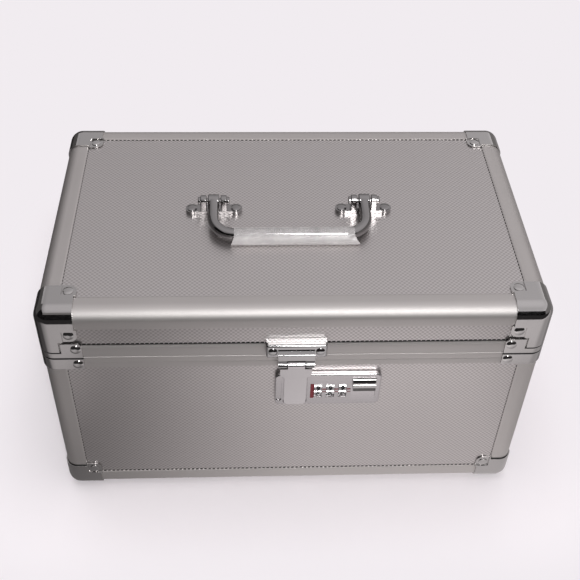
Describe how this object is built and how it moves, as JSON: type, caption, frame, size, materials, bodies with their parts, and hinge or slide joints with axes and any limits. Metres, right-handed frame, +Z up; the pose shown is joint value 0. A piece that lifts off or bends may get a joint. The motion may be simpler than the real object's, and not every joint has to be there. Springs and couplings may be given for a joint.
{
  "type": "medication lock box",
  "caption": "Rectangular aluminium medication lock box with chrome corner caps, a hinged lid with a bail handle, and a hasp with a combination lock.",
  "frame": {"origin": "centre of the bounding box's bottom face, where the bottom corner caps stand", "axes": "+X to the right along the width, +Y from the lock towards the hinges, +Z up"},
  "size_m": [0.3238, 0.2107, 0.1896],
  "materials": {
    "embossed_aluminium": "embossed with small staggered diamonds, satin",
    "profile_aluminium": "satin anodised",
    "chrome": "mirror plated",
    "dial_chrome": "bright plated with dark digits",
    "satin_steel": "satin plated",
    "dark_steel": "plain",
    "lining_fabric": "matt felt on board",
    "black_plastic": "moulded, matt",
    "red_plastic": "glossy",
    "milky_film": "translucent, crinkled"
  },
  "bodies": {
    "base": {"base_front_panel": "embossed_aluminium", "base_back_panel": "embossed_aluminium", "base_left_panel": "embossed_aluminium", "base_right_panel": "embossed_aluminium", "base_bottom_panel": "embossed_aluminium", "base_bottom_frame": "profile_aluminium", "base_rim_frame": "profile_aluminium", "base_post_back_right": "profile_aluminium", "base_cap_back_right": "chrome", "base_rim_plate_back_right": "satin_steel", "base_post_back_left": "profile_aluminium", "base_cap_back_left": "chrome", "base_rim_plate_back_left": "satin_steel", "base_post_front_left": "profile_aluminium", "base_cap_front_left": "chrome", "base_rim_plate_front_left": "satin_steel", "base_post_front_right": "profile_aluminium", "base_cap_front_right": "chrome", "base_rim_plate_front_right": "satin_steel", "base_lining": "lining_fabric", "base_hinge_leaf_left": "satin_steel", "base_hinge_leaf_right": "satin_steel", "lock_body": "satin_steel", "lock_housing": "black_plastic", "red_index": "red_plastic", "dial_spindle": "dark_steel"},
    "lid": {"lid_front_panel": "embossed_aluminium", "lid_back_panel": "embossed_aluminium", "lid_left_panel": "embossed_aluminium", "lid_right_panel": "embossed_aluminium", "lid_top_panel": "embossed_aluminium", "lid_top_frame": "profile_aluminium", "lid_rim_frame": "profile_aluminium", "lid_cap_back_right": "chrome", "lid_rim_plate_back_right": "satin_steel", "lid_cap_back_left": "chrome", "lid_rim_plate_back_left": "satin_steel", "lid_cap_front_left": "chrome", "lid_rim_plate_front_left": "satin_steel", "lid_cap_front_right": "chrome", "lid_rim_plate_front_right": "satin_steel", "lid_lining": "lining_fabric", "lid_hinge_leaf_left": "satin_steel", "lid_hinge_leaf_right": "satin_steel", "strike_plate": "satin_steel", "hasp_pin": "dark_steel", "handle_bracket_left": "chrome", "handle_bracket_right": "chrome"},
    "handle": {"handle_bail": "chrome", "grip_sleeve": "milky_film"},
    "hasp": {"hasp": "satin_steel"},
    "lock_slide": {"lock_slide": "chrome"},
    "bell_crank": {"bell_crank": "dark_steel"},
    "latch_bolt": {"latch_bolt": "dark_steel"},
    "dial_1": {"dial_1": "dial_chrome"},
    "dial_2": {"dial_2": "dial_chrome"},
    "dial_3": {"dial_3": "dial_chrome"}
  },
  "joints": [
    {"name": "lid_hinge", "type": "hinge", "parent": "base", "child": "lid", "pos_m": [0, 0.10275, 0.1386], "axis": [-1, 0, 0], "range_deg": [0, 95]},
    {"name": "handle_swing", "type": "hinge", "parent": "lid", "child": "handle", "pos_m": [-0.0015, 0.00165, 0.18525], "axis": [-1, 0, 0], "range_deg": [0, 193.8]},
    {"name": "hasp_swing", "type": "hinge", "parent": "lid", "child": "hasp", "pos_m": [0.0005, -0.10295, 0.1366], "axis": [-1, 0, 0], "range_deg": [0, 140]},
    {"name": "lock_slide_travel", "type": "slide", "parent": "base", "child": "lock_slide", "axis": [0, 0, -1], "range_m": [0, 0.005]},
    {"name": "bell_crank_turn", "type": "hinge", "parent": "base", "child": "bell_crank", "pos_m": [0.03978, -0.08965, 0.10657], "axis": [0, 1, 0], "range_deg": [0, 34.3]},
    {"name": "latch_bolt_travel", "type": "slide", "parent": "base", "child": "latch_bolt", "axis": [-1, 0, 0], "range_m": [0, 0.005]},
    {"name": "dial_1_turn", "type": "hinge", "parent": "base", "child": "dial_1", "pos_m": [0.0157, -0.0904, 0.1069], "axis": [1, 0, 0], "continuous": true},
    {"name": "dial_2_turn", "type": "hinge", "parent": "base", "child": "dial_2", "pos_m": [0.0238, -0.0904, 0.1069], "axis": [1, 0, 0], "continuous": true},
    {"name": "dial_3_turn", "type": "hinge", "parent": "base", "child": "dial_3", "pos_m": [0.0319, -0.0904, 0.1069], "axis": [1, 0, 0], "continuous": true}
  ],
  "couplings": [
    {"joint": "bell_crank_turn", "follows": "lock_slide_travel", "rad_per_m": 119.41},
    {"joint": "latch_bolt_travel", "follows": "lock_slide_travel", "ratio": 1}
  ]
}
